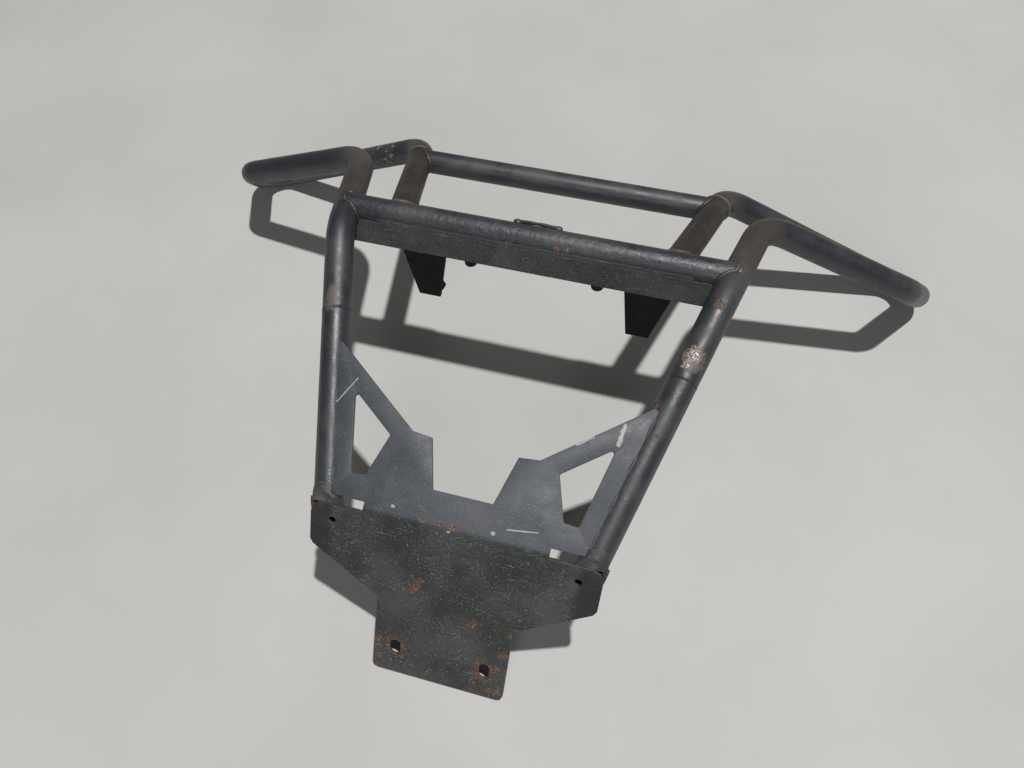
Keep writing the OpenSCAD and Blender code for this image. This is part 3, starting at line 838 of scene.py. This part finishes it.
def clearFilm():
    material = bpy.data.materials.new("clearFilm")
    material.use_nodes = True
    tree = material.node_tree
    place = put(tree, "ShaderNodeTexCoord").outputs["Object"]
    stretch = put(tree, "ShaderNodeMapping", {
        "Vector": place, "Rotation": filmLook["creaseTurn"], "Scale": filmLook["creaseSize"]}).outputs[0]
    creases = put(tree, "ShaderNodeTexNoise", {"Vector": stretch, "Scale": 1.0, "Detail": 3.0}).outputs[0]
    patches = soften(tree, noiseAt(tree, place, filmLook["patchSize"], 3), *filmLook["patchFade"])
    # painted highlight: the creases' white glare goes into the film's colour and opacity
    glare = times(tree, soften(tree, creases, *filmLook["creaseFade"]), patches)
    shader = tree.nodes["Principled BSDF"]
    shader.inputs["Specular IOR Level"].default_value = filmLook["specular"]
    bump = put(tree, "ShaderNodeBump", {
        "Height": creases, "Strength": filmLook["bump"], "Distance": filmLook["bumpDistance"]})
    for socket, value in (
            ("Base Color", mixColours(tree, glare, filmLook["dark"], filmLook["glare"])),
            ("Alpha", plus(tree, times(tree, glare, filmLook["glareAlpha"]), filmLook["thinnest"])),
            ("Roughness", soften(tree, creases, *filmLook["roughness"])),
            ("Normal", bump.outputs[0])):
        tree.links.new(value, shader.inputs[socket])
    return material


def makeFilm():
    along = (guard["rearCorner"] - guard["wingRear"]).normalized()
    rim = along.orthogonal().normalized()
    other = along.cross(rim)
    wrap = bmesh.new()
    rows = []
    for i in range(film["along"] + 1):
        back = film["far"] + (film["near"] - film["far"]) * i / film["along"]
        row = []
        for j in range(film["around"]):
            turn = 2 * math.pi * j / film["around"]
            out = rim * math.cos(turn) + other * math.sin(turn)
            edge = film["edgeWander"] * noise.noise(out * 2.0) if i in (0, film["along"]) else 0.0
            point = guard["rearCorner"] - along * (back + edge) + out * radius
            fold = noise.noise(Vector((back * film["wrinklesAlong"], turn * film["wrinklesAround"], 3.0)))
            lift = film["gap"] + film["wrinkle"] * max(0.0, fold)
            row.append(wrap.verts.new(flip(point + out * lift)))
        rows.append(row)
    for first, second in zip(rows, rows[1:]):
        for j in range(film["around"]):
            wrap.faces.new((first[j - 1], first[j], second[j], second[j - 1]))
    bmesh.ops.recalc_face_normals(wrap, faces=wrap.faces[:])
    mesh = bpy.data.meshes.new("filmSheet")
    wrap.to_mesh(mesh)
    wrap.free()
    mesh.materials.append(clearFilm())
    maker = bpy.data.objects.new("filmMaker", mesh)
    bpy.context.collection.objects.link(maker)
    shell = maker.modifiers.new("thickness", "SOLIDIFY")
    shell.thickness = film["thick"]
    shell.offset = 1
    piece = settle("filmWrap", maker)
    piece.data.shade_smooth()
    return piece


finishPiece(makeFilm(), "clear_film", "tape_wrap")
print("film wrapped")


# Weld spatter: small balls frozen on the crossbar, the necks of the hoops and the legs. Angles are in
# degrees; the crossbar's are a middle and a spread, and the others a first and a last.
spatter = {
    "seed": 11, "sizeSeed": 7, "small": 0.0004, "large": 0.0011,
    "onCrossbar": {"count": 46, "reach": 0.22, "turn": (38, 20)},
    "onNecks": {"count": 12, "along": (0.015, 0.085), "turn": (-70, 20)},
    "onLegs": {"count": 10, "along": (0.01, 0.05), "turn": (-70, 70)},
}


def makeSpatterTree():
    tree, given, result = newTree("spatter", [
        ("Small", "Float", spatter["small"]), ("Large", "Float", spatter["large"]),
        ("Seed", "Int", spatter["sizeSeed"]), ("Material", "Material", None)])
    ball = put(tree, "GeometryNodeMeshIcoSphere", {"Radius": 1.0, "Subdivisions": 2}).outputs[0]
    size = put(tree, "FunctionNodeRandomValue", {
        2: given["Small"], 3: given["Large"], "Seed": given["Seed"]}, data_type="FLOAT").outputs[1]
    points = put(tree, "GeometryNodeMeshToPoints", {"Mesh": given["Geometry"]}).outputs[0]
    skin = put(tree, "GeometryNodeInstanceOnPoints", {
        "Points": points, "Instance": ball, "Scale": size}).outputs[0]
    endTree(tree, skin, given, result)
    return tree


def spotsBeside(draw, start, direction, share):
    # the same count on each side of the guard, each spot drawn on its own
    spots = []
    for _ in range(share["count"]):
        for side in (Vector, flip):
            along = draw.uniform(*share["along"])
            turn = draw.uniform(*share["turn"])
            spots.append(side(besideTube(start, direction, along, turn, radius)))
    return spots


draw = random.Random(spatter["seed"])
spots = []
for _ in range(spatter["onCrossbar"]["count"]):
    turn = math.radians(draw.gauss(*spatter["onCrossbar"]["turn"]))
    x = draw.uniform(-spatter["onCrossbar"]["reach"], spatter["onCrossbar"]["reach"])
    spots.append(guard["crossbar"] + Vector((x, -math.sin(turn) * radius, math.cos(turn) * radius)))
spots += spotsBeside(draw, guard["knee"], neckDir, spatter["onNecks"])
spots += spotsBeside(draw, seam, legDir, spatter["onLegs"])
piece = runTree("weldSpatter", makeSpatterTree(), [[spot] for spot in spots], {
    "Small": spatter["small"], "Large": spatter["large"], "Seed": spatter["sizeSeed"],
    "Material": materials["bead"]})
finishPiece(piece, "painted_weld")
print("spatter thrown")

# CAD nodes that keep their shape, by finish
keptNodes = {
    "tube": ("upright_left", "upright_right"),
    "brownTube": ("leg_left", "leg_right"),
    "crossbar": ("crossbar",),
    "rearBar": ("rear_bar",),
    "flange": ("crossbar_flange", "weld_flange"),
    "bracket": ("bracket_left", "bracket_right", "bracket_nut", "stub_left", "stub_right",
                "weld_brackets", "weld_stubs"),
    "rustyCap": ("weld_ears",),
}
for finish, nodeNames in keptNodes.items():
    for nodeName in nodeNames:
        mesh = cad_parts[nodeName].data
        mesh.materials.clear()
        mesh.materials.append(materials[finish])
print("CAD nodes painted")

# a plain pale floor
floorLook = {"colour": (0.57, 0.565, 0.55), "pale": (0.62, 0.615, 0.60), "half": 6.0, "roughness": 0.75,
             "clouds": 2.5, "cloudFade": (0.3, 0.7)}
floorMesh = bpy.data.meshes.new("floor")
half = floorLook["half"]
low = cadBox[0][2]
floorCorners = [(-half, -half, low), (half, -half, low), (half, half, low), (-half, half, low)]
floorMesh.from_pydata(floorCorners, [], [(0, 1, 2, 3)])
floor = bpy.data.objects.new("floor", floorMesh)
bpy.context.collection.objects.link(floor)
floorPaint = bpy.data.materials.new("paleFloor")
floorPaint.use_nodes = True
tree = floorPaint.node_tree
place = put(tree, "ShaderNodeTexCoord").outputs["Object"]
shade = soften(tree, noiseAt(tree, place, floorLook["clouds"], 6), *floorLook["cloudFade"])
shader = tree.nodes["Principled BSDF"]
shader.inputs["Roughness"].default_value = floorLook["roughness"]
tree.links.new(mixColours(tree, shade, floorLook["colour"], floorLook["pale"]), shader.inputs["Base Color"])
floorMesh.materials.append(floorPaint)

# light: a high lamp a little to the right and behind, a soft panel in front, a dim warm surround
light = {"surround": 0.055, "surroundColour": (1.0, 0.88, 0.80), "aim": Vector((0, 0, 0.1)), "lamps": (
    {"name": "lamp", "from": Vector((0.185, 0.10, 1.0)), "away": 12.0, "size": 0.42, "power": 1150.0,
     "colour": (1.0, 0.995, 0.985)},
    {"name": "panel", "from": Vector((0.10, -0.78, 0.66)), "away": 4.0, "size": 2.0, "power": 26.0,
     "colour": (0.90, 0.95, 1.0)})}
for each in light["lamps"]:
    lampData = bpy.data.lights.new(each["name"], "AREA")
    lampData.shape = "DISK"
    lampData.size = each["size"]
    lampData.energy = each["power"]
    lampData.color = each["colour"]
    lamp = bpy.data.objects.new(each["name"], lampData)
    lamp.location = light["aim"] + each["from"].normalized() * each["away"]
    lamp.rotation_euler = each["from"].to_track_quat("Z", "Y").to_euler()
    bpy.context.collection.objects.link(lamp)
world = bpy.data.worlds.new("surround")
bpy.context.scene.world = world
world.use_nodes = True
background = world.node_tree.nodes["Background"]
background.inputs["Color"].default_value = (*light["surroundColour"], 1)
background.inputs["Strength"].default_value = light["surround"]
bpy.context.scene.view_settings.view_transform = "Standard"

# camera
view = {"place": Vector((0.1742, -0.5072, 1.0681)), "lens": 26.69, "sensor": 36.0,
        "ahead": Vector((-0.15899, 0.46112, -0.87298)), "up": Vector((-0.20860, 0.84857, 0.48622))}
cameraData = bpy.data.cameras.new("camera")
cameraData.lens = view["lens"]
cameraData.sensor_width = view["sensor"]
camera = bpy.data.objects.new("camera", cameraData)
back = -view["ahead"].normalized()
right = view["up"].cross(back).normalized()
top = back.cross(right)
camera.matrix_world = Matrix.Translation(view["place"]) @ Matrix((right, top, back)).transposed().to_4x4()
bpy.context.collection.objects.link(camera)
bpy.context.scene.camera = camera

print("scene ready")
